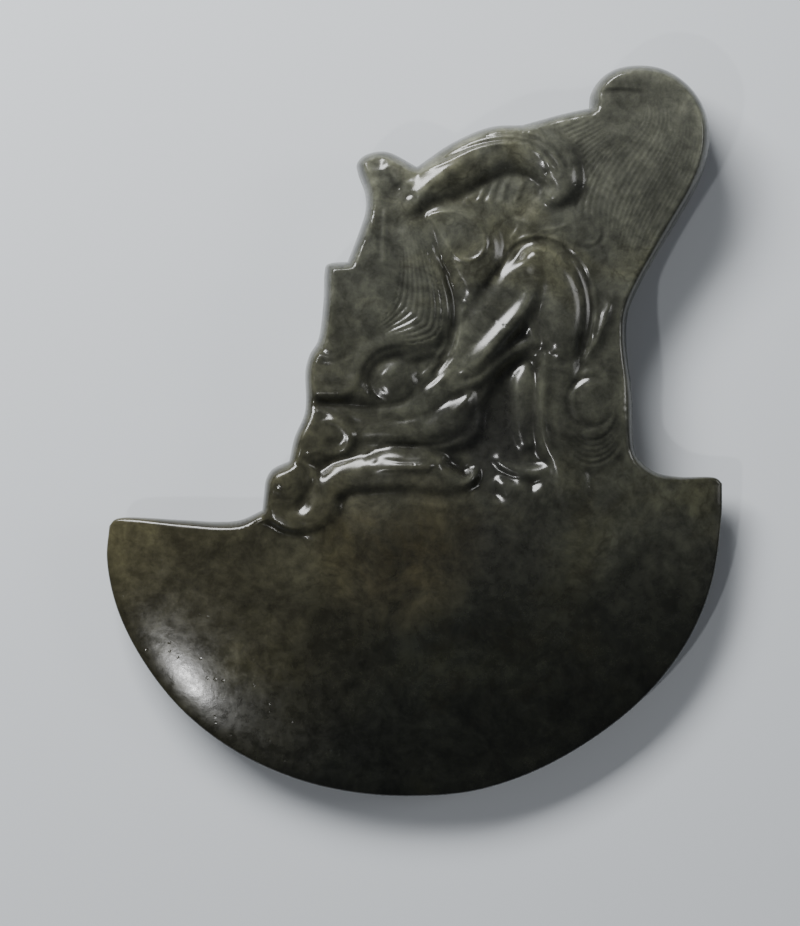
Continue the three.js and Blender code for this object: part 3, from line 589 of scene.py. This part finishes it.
def line_curl(r):
    """Rings round the curl, and the arcs hanging under it."""
    for ring in range(5):
        r.cut(arc(29, 3.4, 4.0 + 0.45 * ring, 5.0 + 0.92 * ring, 205 + 3 * ring, 372 - 6 * ring, 13),
              0.32, 0.34, fade=0.25)
    r.cut(arc(28.7, 4.7, 3.9, 4.1, 40, 350, 14), 0.4, 0.28, fade=0.12)
    r.fold(arc(28.6, 4.9, 2.7, 2.9, 110, 235), 0.28, 0.18)
    r.cut([(30.6, 20.6), (29.8, 17.6), (29, 14.8)], 0.34, 0.2)
    r.fold([(32, 21.8), (31.3, 19), (30.4, 16.4), (29.4, 14.2), (28.3, 12.2)], 0.3, 0.24, fade=0.15)


def line_ear(r):
    rim = [(2, 34.9), (3.5, 35.3), (6, 35.6), (8.2, 35), (10, 33.6), (11.3, 31.8), (11.5, 30), (10.7, 28.4),
           (9.5, 27.7), (8.2, 27.7), (6.8, 28.3), (5.6, 29.8), (4.2, 32), (2.9, 34)]
    r.fold(rim + rim[:1], 0.28, 0.3, fade=0.01)
    for shift in (0, 1.5, 3):
        r.cut([(2.4 + shift, 29.4 - 0.5 * shift), (3.5 + shift, 27.4 - 0.7 * shift),
               (5.0 + shift, 25.4 - 0.8 * shift)], 0.45, 0.24)


def line_horn(r):
    """Two grooves along the back of the horn leave three ridges."""
    r.cut([(1.6, 43.2), (5.6, 45.3), (10, 47.35), (14.4, 48.15), (18, 47.9), (21.6, 46.4), (24.2, 43.9),
           (25.2, 41.4)], 0.42, 0.44, fade=0.1)
    r.cut([(1, 42.5), (5.6, 44.5), (10, 46.3), (14.4, 47.1), (18, 46.75), (20.8, 45.4), (22.8, 43.2),
           (23.6, 41.2)], 0.42, 0.5, fade=0.1)
    r.fold([(0.4, 41.8), (5.6, 43.9), (10, 45.8), (14.4, 46.6), (18, 46.3), (20, 45.2), (21.6, 43.4),
            (22.2, 42)], 0.4, 0.34, fade=0.1)
    for x, y in ((3, 39.2), (1.2, 36.8), (21.4, 41.8), (20.9, 44.2)):
        r.cut([(x - 0.35, y - 0.3), (x, y), (x + 0.35, y + 0.3)], 0.4, 0.35, fade=0.6)
    r.cut([(-3.4, 39), (-1.8, 40.4), (-0.2, 41.2)], 0.35, 0.2)
    r.cut([(-1.8, 37.8), (-0.4, 38.2), (0.4, 37.2)], 0.35, 0.2)


def line_forelock(r):
    r.fold([(-5.6, 43.6), (-3.4, 43), (-1.2, 42), (0.8, 41.8)], 0.9, 0.4)
    r.cut([(-7.4, 40.8), (-5, 41.4), (-2.8, 41)], 0.5, 0.16)


def line_blade(r):
    """Faint forms that run out from the mouth on to the blade."""
    r.swell([(9.4, -7), (14, -6.5), (18.9, -8), (19.6, -15), (18.4, -20), (15.6, -24.5), (13, -28.5),
             (10.6, -24), (9.4, -18)], 0.3, 3.6)
    r.cut([(18.6, -11.5), (19.2, -15), (18.2, -19.6), (15.6, -24)], 1.0, 0.12, fade=0.4)
    r.cut([(8.4, -11), (9.8, -14.4), (11.8, -18), (12.8, -22)], 1.1, 0.12, fade=0.4)
    r.cut([(7.4, -11.4), (8, -15), (9.2, -19)], 0.8, 0.12, fade=0.4)
    r.fold([(-5, -11.9), (0, -11.7), (3.6, -12.3), (6.4, -12.8)], 0.6, 0.2, fade=0.3)


FORMS = (form_butt, form_hollows, form_face, form_cheek, form_snout, form_lips, form_snout_curl, form_teeth,
         form_eye, form_ear, form_jaw, form_curl, form_lower_jaw, form_horn, form_forelock)


def carve_front(r):
    for form in FORMS:
        form(r)
    r.polish(FORM_WEAR)
    for line in (line_mane, line_horn_hollow, line_face, line_eye, line_cheek, line_snout, line_mouth,
                 line_jaw, line_curl, line_ear, line_horn, line_forelock, line_blade):
        line(r)
    r.polish(LINE_WEAR)
    hair_mane(r)
    hair_brow(r)


def carve_back(r):
    """The back repeats the beast more plainly."""
    for form in FORMS:
        if form is not form_hollows:
            form(r)
    r.polish(FORM_WEAR)
    for line in (line_mane, line_face, line_cheek, line_curl, line_ear, line_horn):
        line(r)


# ---------------------------------------------------------------- the stone's two faces
OUTLINE = np.vstack([spaced(run, OUTLINE_STEP)[:-1] for run in OUTLINE_RUNS])


def plain_half(xy, blade_half, head_step):
    """Half the stone's thickness where nothing is carved, from how far the cutting edge is."""
    gap = nearest(xy, spaced(CUTTING_EDGE, 1.0))[0]
    fullness = 1 - (1 - np.minimum(gap / BLADE_RISE, 1)) ** 2
    lens = EDGE_HALF + (blade_half - EDGE_HALF) * fullness ** LENS_POWER
    head = head_step * smooth((gap - HEAD_FROM) / HEAD_RISE)
    return lens + head - BUTT_CUT * smooth((gap - BUTT_FROM) / BUTT_RISE)


def rim_rise(rim_gap, half):
    """How far the rim has risen, from 0 at the outline to 1 where its rounding ends."""
    return np.sqrt(1 - (1 - np.minimum(rim_gap / (ROLL_SHARE * half), 1)) ** 2)


def front_height(xy, faces, rim_gap):
    """The front rises from the parting line to the plain stone and the carving on it."""
    relief = Relief(xy, faces, CARVED_STEP)
    carve_front(relief)
    half = plain_half(xy, BLADE_HALF, HEAD_EXTRA)
    return PARTING_HEIGHT + rim_rise(rim_gap, half) * (half + FRONT_SHARE * relief.height)


def back_height(xy, faces, rim_gap):
    """The back's highest places are ground flat, and the stone lies on them."""
    relief = Relief(xy, faces, BACK_STEP)
    carve_back(relief)
    half = plain_half(xy, BLADE_BACK_HALF, -HEAD_BACK_CUT)
    depth = np.minimum(half + BACK_SHARE * relief.height, PARTING_HEIGHT)
    return PARTING_HEIGHT - rim_rise(rim_gap, half) * depth


# ---------------------------------------------------------------- mesh
# The carved area of the front lies over this line, x and y.
UNDER_JAWS = [(-30, -16), (-20, -18.5), (-10, -13), (9, -14), (12, -28), (20, -27), (24, -14), (30, -12),
              (40, -8)]


def staggered(low, high, step):
    """Rows of points over a box, each row shifted by half a step from the last."""
    row_step = step * math.sin(math.pi / 3)
    rows = []
    for i, y in enumerate(np.arange(low[1], high[1], row_step)):
        x = np.arange(low[0] + 0.5 * step * (i % 2), high[0], step)
        rows.append(np.column_stack([x, np.full(len(x), y)]))
    return np.vstack(rows)


def rim_rows():
    """Points in rows along the inside of the outline, close enough to follow its rounding."""
    run = np.roll(OUTLINE, -1, axis=0) - np.roll(OUTLINE, 1, axis=0)
    inwards = np.column_stack([run[:, 1], -run[:, 0]]) / np.hypot(*run.T)[:, None]
    rows = []
    for number, inset in enumerate(RIM_ROWS):
        every = 2 if inset > OUTLINE_STEP else 1
        row = (OUTLINE + inwards * inset)[number % 2::every]
        gap = nearest(row, OUTLINE, True)[0]
        rows.append(row[(gap > 0.9 * inset) & inside(row, OUTLINE)])
    return np.vstack(rows)


def carved_area(xy):
    x, y = np.array(UNDER_JAWS).T
    return xy[:, 1] > np.interp(xy[:, 0], x, y)


def fill_points(carved_step):
    """Inner points, with one step over the carved area and PLAIN_STEP outside it."""
    low, high = OUTLINE.min(0), OUTLINE.max(0)
    sets = []
    for step, carved in ((carved_step, True), (PLAIN_STEP, False)):
        points = staggered(low, high, step)
        points = points[carved_area(points) == carved]
        points = points[inside(points, OUTLINE)]
        gap = nearest(points, OUTLINE, True)[0]
        sets.append(points[gap > RIM_ROWS[-1] + 0.5 * step])
    return np.vstack(sets)


def triangles_over(xy):
    """Delaunay triangles of the points that lie within the outline."""
    rim = len(OUTLINE)
    border = [(i, (i + 1) % rim) for i in range(rim)]
    made = delaunay_2d_cdt([Vector(p) for p in xy], border, [], 0, MERGE_GAP, False)
    assert len(made[0]) == len(xy), "the mesh points must stay as given"
    faces = np.array(made[2])
    middle = xy[faces].mean(1)
    return faces[inside(middle, OUTLINE)]


def without_chords(xy):
    """Triangles with no edge across from one outline point to another, which would pinch the stone."""
    rim = len(OUTLINE)
    while True:
        faces = triangles_over(xy)
        edges = np.sort(np.vstack([faces[:, [0, 1]], faces[:, [1, 2]], faces[:, [2, 0]]]), axis=1)
        apart = edges[:, 1] - edges[:, 0]
        chords = np.unique(edges[(edges[:, 1] < rim) & (apart > 1) & (apart < rim - 1)], axis=0)
        if not len(chords):
            return xy, faces
        xy = np.vstack([xy, xy[chords].mean(1)])


def hollowness(points, faces):
    """How far each mesh point lies under the smoothed surface round it, in millimetres."""
    smoothed = points[:, 2]
    for _ in range(SHADE_PASSES):
        smoothed = 0.5 * (smoothed + mean_of_neighbours(smoothed, faces))
    return (smoothed - points[:, 2]) * np.where(points[:, 2] < PARTING_HEIGHT, -1, 1)


def make_stone():
    """The front and the back are made apart, and share the points of the outline."""
    rim = len(OUTLINE)
    rows = rim_rows()
    front_xy, front_faces = without_chords(np.vstack([OUTLINE, rows, fill_points(CARVED_STEP)]))
    back_xy, back_faces = without_chords(np.vstack([OUTLINE, rows, fill_points(BACK_STEP)]))
    front_gap = nearest(front_xy, OUTLINE, True)[0]
    back_gap = nearest(back_xy, OUTLINE, True)[0]
    front_z = front_height(front_xy, front_faces, front_gap)
    back_z = back_height(back_xy, back_faces, back_gap)
    front_z[:rim] = PARTING_HEIGHT
    points = np.vstack([np.column_stack([front_xy, front_z]), np.column_stack([back_xy, back_z])[rim:]])
    back_faces = np.where(back_faces < rim, back_faces, back_faces - rim + len(front_xy))[:, ::-1]
    faces = np.vstack([front_faces, back_faces])
    # how deep each point lies in a hollow, for the painted shade there and the painted light on ridges, faded
    # out near the rim
    off_rim = smooth((np.concatenate([front_gap, back_gap[rim:]]) - RIM_SHADE_FROM) / RIM_SHADE_RISE)
    shade = hollowness(points, faces) * off_rim

    mesh = bpy.data.meshes.new("axe_head_carving")
    mesh.from_pydata((points * SCALE).tolist(), [], faces.tolist())
    mesh.polygons.foreach_set("use_smooth", [True] * len(mesh.polygons))
    mesh.attributes.new("hollowness", "FLOAT", "POINT").data.foreach_set("value", shade)
    mesh.update()
    stone = bpy.data.objects.new("axe_head_carving", mesh)
    bpy.context.collection.objects.link(stone)
    return stone


# ---------------------------------------------------------------- material
# The scales of the stone's patterns, in cells per metre.
PATCH_SCALE, CLOUD_SCALE, VEIN_SCALE, MOTTLE_SCALE, WAVE_SCALE, PIT_SCALE = 30, 95, 150, 430, 700, 800

# The stone's colour along its length, darker towards the cutting edge, partly its own tone and partly painted
# light that falls off from the butt towards the blade, by the share of the way between these two values of y,
# in metres.
LENGTH_FROM, LENGTH_TO = -0.045, 0.06
TONE_AND_LIGHT_ALONG = [(0.0, (0.0090, 0.0099, 0.0074)), (0.12, (0.0112, 0.0121, 0.0093)), (0.27, (0.0275, 0.0288, 0.0220)),
         (0.5, (0.045, 0.0466, 0.0360)), (0.78, (0.056, 0.0580, 0.0470)), (1.0, (0.097, 0.100, 0.080))]

# Places with a tone of their own, or with painted shade or painted light: centre, where it fades out and
# where it is full (metres), and colour.
TONES_AND_PAINTED_SHADING = [
    ((-0.052, -0.014, 0.006), 0.056, 0.004, (0.045, 0.0415, 0.0225)),   # olive, the blade's left corner
    ((0.014, -0.017, 0.011), 0.010, 0.004, (0.020, 0.0207, 0.0165)),    # dark, under the claw
    ((0.0125, -0.001, 0.009), 0.011, 0.004, (0.024, 0.0245, 0.021)),    # painted shade, in the recess inside the mouth
    ((-0.004, -0.009, 0.012), 0.011, 0.004, (0.062, 0.063, 0.046)),     # painted light, paler gum where its lower flank turns away from the light
]
STAIN_PLACE, STAIN_FAR, STAIN_FULL = (-0.003, -0.018, 0.011), 0.016, 0.003   # under the mouth, metres
STAIN_BROWN = (0.040, 0.0345, 0.0175)
OLIVE_TINT = (1.05, 0.98, 0.66)
VEIN_COLOUR = (0.009, 0.008, 0.005)
# painted light on the ridges, and on the hollows a darkening that is partly dirt and partly painted shade
RIDGE_PAINTED_LIGHT, HOLLOW_DIRT_AND_PAINTED_SHADE = (1.4, 1.4, 1.36), (0.36, 0.35, 0.36)
SHADE_DEPTH = 0.35       # a hollow or a ridge this deep or high has its full painted shade or painted light, millimetres
WARMTH = 0.97            # the blue of the lighter parts of a pattern
JADE_IOR = 1.52
ROUGHNESS = (0.14, 0.27)
SUBSURFACE, SUBSURFACE_RADIUS, SUBSURFACE_SCALE = 0.08, (0.8, 1.0, 0.5), 0.001
PITTED_OVER = 0.84       # a cell of the pit pattern has a pit when its random number is over this
BUMP_STRENGTH, BUMP_DISTANCE = 0.25, 0.00012


def node(tree, kind, **settings):
    made = tree.nodes.new(kind)
    for name, value in settings.items():
        setattr(made, name, value)
    return made


def noise(tree, place, scale, detail, roughness, distortion=0.0):
    made = node(tree, "ShaderNodeTexNoise")
    made.inputs["Scale"].default_value = scale
    made.inputs["Detail"].default_value = detail
    made.inputs["Roughness"].default_value = roughness
    made.inputs["Distortion"].default_value = distortion
    tree.links.new(place, made.inputs["Vector"])
    return made.outputs["Fac"]


def grey(level):
    return (level, level, level)


def ramp(tree, value, stops):
    made = node(tree, "ShaderNodeValToRGB")
    for _ in range(len(stops) - 2):
        made.color_ramp.elements.new(0.5)
    for element, (position, colour) in zip(made.color_ramp.elements, stops):
        element.position = position
        element.color = (*colour, 1.0)
    tree.links.new(value, made.inputs["Fac"])
    return made.outputs["Color"]


def mix(tree, factor, one, two, blend="MIX"):
    made = node(tree, "ShaderNodeMix", data_type="RGBA", blend_type=blend)
    for socket, value in ((made.inputs[0], factor), (made.inputs[6], one), (made.inputs[7], two)):
        if isinstance(value, bpy.types.NodeSocket):
            tree.links.new(value, socket)
        elif isinstance(value, tuple):
            socket.default_value = (*value, 1.0)
        else:
            socket.default_value = value
    return made.outputs[2]


def times(tree, one, two):
    return mix(tree, 1.0, one, two, "MULTIPLY")


def remap(tree, value, low, high, to_low=0.0, to_high=1.0):
    made = node(tree, "ShaderNodeMapRange", clamp=True)
    tree.links.new(value, made.inputs["Value"])
    for name, number in (("From Min", low), ("From Max", high), ("To Min", to_low), ("To Max", to_high)):
        made.inputs[name].default_value = number
    return made.outputs["Result"]


def near_to(tree, place, centre, far, close):
    """1 within close of a point in the stone, falling to 0 at far."""
    gap = node(tree, "ShaderNodeVectorMath", operation="DISTANCE")
    tree.links.new(place, gap.inputs[0])
    gap.inputs[1].default_value = centre
    return remap(tree, gap.outputs["Value"], far, close)


def jade_colour(tree, place, patches, cloud, mottle):
    axes = node(tree, "ShaderNodeSeparateXYZ")
    tree.links.new(place, axes.inputs[0])
    # partly the stone's own tone, partly painted light falling off towards the blade
    body = ramp(tree, remap(tree, axes.outputs["Y"], LENGTH_FROM, LENGTH_TO), TONE_AND_LIGHT_ALONG)
    # some of these patches are the stone's own tone, and some are painted shade or painted light
    for centre, far, close, tone in TONES_AND_PAINTED_SHADING:
        body = mix(tree, near_to(tree, place, centre, far, close), body, tone)
    stained = near_to(tree, place, STAIN_PLACE, STAIN_FAR, STAIN_FULL)
    broken = mix(tree, stained, grey(0), ramp(tree, cloud, [(0.36, grey(0.2)), (0.6, grey(0.9))]))
    body = mix(tree, broken, body, STAIN_BROWN)
    body = mix(tree, remap(tree, patches, 0.52, 0.66, 0, 0.4), body, times(tree, body, OLIVE_TINT))
    for pattern, low, high in ((patches, 0.8, 1.22), (cloud, 0.64, 1.42), (mottle, 0.76, 1.28)):
        stops = [(0.38, grey(low)), (0.5, grey(1)), (0.64, (high, high, WARMTH * high))]
        body = times(tree, body, ramp(tree, pattern, stops))

    # soft dark veins, only in some of the patches
    vein = ramp(tree, noise(tree, place, VEIN_SCALE, detail=4, roughness=0.55, distortion=0.3),
                [(0.455, grey(0)), (0.5, grey(1)), (0.545, grey(0))])
    veined = times(tree, vein, ramp(tree, patches, [(0.40, grey(0)), (0.6, grey(0.38))]))
    colour = mix(tree, veined, body, VEIN_COLOUR)

    # hollows are darker and greyer, partly dirt in them and partly painted shade, and ridges are paler with
    # painted light
    hollow = node(tree, "ShaderNodeAttribute", attribute_name="hollowness").outputs["Fac"]
    shade = remap(tree, hollow, -SHADE_DEPTH, SHADE_DEPTH)
    return times(tree, colour, ramp(tree, shade, [(0.0, RIDGE_PAINTED_LIGHT), (0.45, grey(1)), (1.0, HOLLOW_DIRT_AND_PAINTED_SHADE)]))


def jade_bump(tree, place):
    """Small pits, and a faint unevenness that breaks up the highlights."""
    waves = noise(tree, place, WAVE_SCALE, detail=3, roughness=0.5)
    cells = node(tree, "ShaderNodeTexVoronoi", feature="F1")
    cells.inputs["Scale"].default_value = PIT_SCALE
    tree.links.new(place, cells.inputs["Vector"])
    picked = node(tree, "ShaderNodeSeparateColor")
    tree.links.new(cells.outputs["Color"], picked.inputs[0])
    pit = mix(tree, remap(tree, picked.outputs[0], PITTED_OVER, PITTED_OVER + 0.02), grey(1),
              ramp(tree, cells.outputs["Distance"], [(0.12, grey(0)), (0.24, grey(1))]))
    bump = node(tree, "ShaderNodeBump")
    bump.inputs["Strength"].default_value = BUMP_STRENGTH
    bump.inputs["Distance"].default_value = BUMP_DISTANCE
    tree.links.new(mix(tree, 0.5, waves, pit), bump.inputs["Height"])
    return bump.outputs["Normal"]


def jade():
    material = bpy.data.materials.new("jade")
    material.use_nodes = True
    tree = material.node_tree
    tree.nodes.clear()
    place = node(tree, "ShaderNodeTexCoord").outputs["Object"]
    patches = noise(tree, place, PATCH_SCALE, detail=4, roughness=0.6, distortion=0.8)
    cloud = noise(tree, place, CLOUD_SCALE, detail=8, roughness=0.68, distortion=0.5)
    mottle = noise(tree, place, MOTTLE_SCALE, detail=6, roughness=0.7, distortion=0.3)

    shader = node(tree, "ShaderNodeBsdfPrincipled")
    shader.inputs["IOR"].default_value = JADE_IOR
    shader.inputs["Subsurface Weight"].default_value = SUBSURFACE
    shader.inputs["Subsurface Radius"].default_value = SUBSURFACE_RADIUS
    shader.inputs["Subsurface Scale"].default_value = SUBSURFACE_SCALE
    tree.links.new(jade_colour(tree, place, patches, cloud, mottle), shader.inputs["Base Color"])
    tree.links.new(remap(tree, mottle, 0.35, 0.7, *ROUGHNESS), shader.inputs["Roughness"])
    tree.links.new(jade_bump(tree, place), shader.inputs["Normal"])
    output = node(tree, "ShaderNodeOutputMaterial")
    tree.links.new(shader.outputs["BSDF"], output.inputs["Surface"])
    return material


# ---------------------------------------------------------------- stage, metres
FLOOR_HALF, FLOOR_COLOUR, FLOOR_ROUGHNESS = 0.6, (0.62, 0.65, 0.68), 0.8
SKY_COLOUR, SKY_STRENGTH = (0.86, 0.9, 1.0), 0.09

# Area lights: name, place, what it points at, size and watts.
LIGHTS = [
    ("top", (-0.23, 0.362, 0.32), (0.01, 0.02, 0), (0.38, 0.18), 5.8),
    ("low_left", (-0.3135, -0.286, 0.56), (-0.0385, -0.0385, 0.01), (0.034, 0.022), 0.78),
    ("right", (0.60, 0.10, 0.36), (0, 0, 0), (0.2, 0.2), 0.6),
]

LENS, SENSOR = 150.0, 36.0           # millimetres
LENGTH_SHARE = 0.9175                # the object's length, as a share of the frame's width
AIM_OFFSET = (-0.00237, -0.00523)    # the frame's middle, from the object's
FOCUS_SHARE = 0.6                    # the frame is measured at this share of the object's height


def make_floor():
    corners = [(-FLOOR_HALF, -FLOOR_HALF, 0), (FLOOR_HALF, -FLOOR_HALF, 0),
               (FLOOR_HALF, FLOOR_HALF, 0), (-FLOOR_HALF, FLOOR_HALF, 0)]
    mesh = bpy.data.meshes.new("floor")
    mesh.from_pydata(corners, [], [(0, 1, 2, 3)])
    material = bpy.data.materials.new("floor")
    material.use_nodes = True
    shader = material.node_tree.nodes["Principled BSDF"]
    shader.inputs["Base Color"].default_value = (*FLOOR_COLOUR, 1.0)
    shader.inputs["Roughness"].default_value = FLOOR_ROUGHNESS
    mesh.materials.append(material)
    floor = bpy.data.objects.new("floor", mesh)
    bpy.context.collection.objects.link(floor)


def make_lights():
    world = bpy.data.worlds.new("studio")
    world.use_nodes = True
    sky = world.node_tree.nodes["Background"]
    sky.inputs["Color"].default_value = (*SKY_COLOUR, 1.0)
    sky.inputs["Strength"].default_value = SKY_STRENGTH
    bpy.context.scene.world = world
    for name, place, target, size, watts in LIGHTS:
        lamp = bpy.data.lights.new(name, "AREA")
        lamp.shape = "RECTANGLE"
        lamp.size, lamp.size_y = size
        lamp.energy = watts
        holder = bpy.data.objects.new(name, lamp)
        holder.location = place
        holder.rotation_euler = (Vector(target) - Vector(place)).to_track_quat("-Z", "Y").to_euler()
        bpy.context.collection.objects.link(holder)


def make_camera():
    """Straight above. The frame's middle lies a little left of the object's, towards the cutting edge."""
    low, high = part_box("axe_head")
    frame_width = (high[1] - low[1]) / LENGTH_SHARE
    camera = bpy.data.cameras.new("camera")
    camera.sensor_fit = "HORIZONTAL"
    camera.sensor_width = SENSOR
    camera.lens = LENS
    holder = bpy.data.objects.new("camera", camera)
    holder.location = ((low[0] + high[0]) / 2 + AIM_OFFSET[0], (low[1] + high[1]) / 2 + AIM_OFFSET[1],
                       high[2] * FOCUS_SHARE + frame_width * LENS / SENSOR)
    bpy.context.collection.objects.link(holder)
    bpy.context.scene.camera = holder


stone = make_stone()
stone.data.materials.append(jade())
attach(stone, "root")
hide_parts("axe_head")
make_floor()
make_lights()
make_camera()
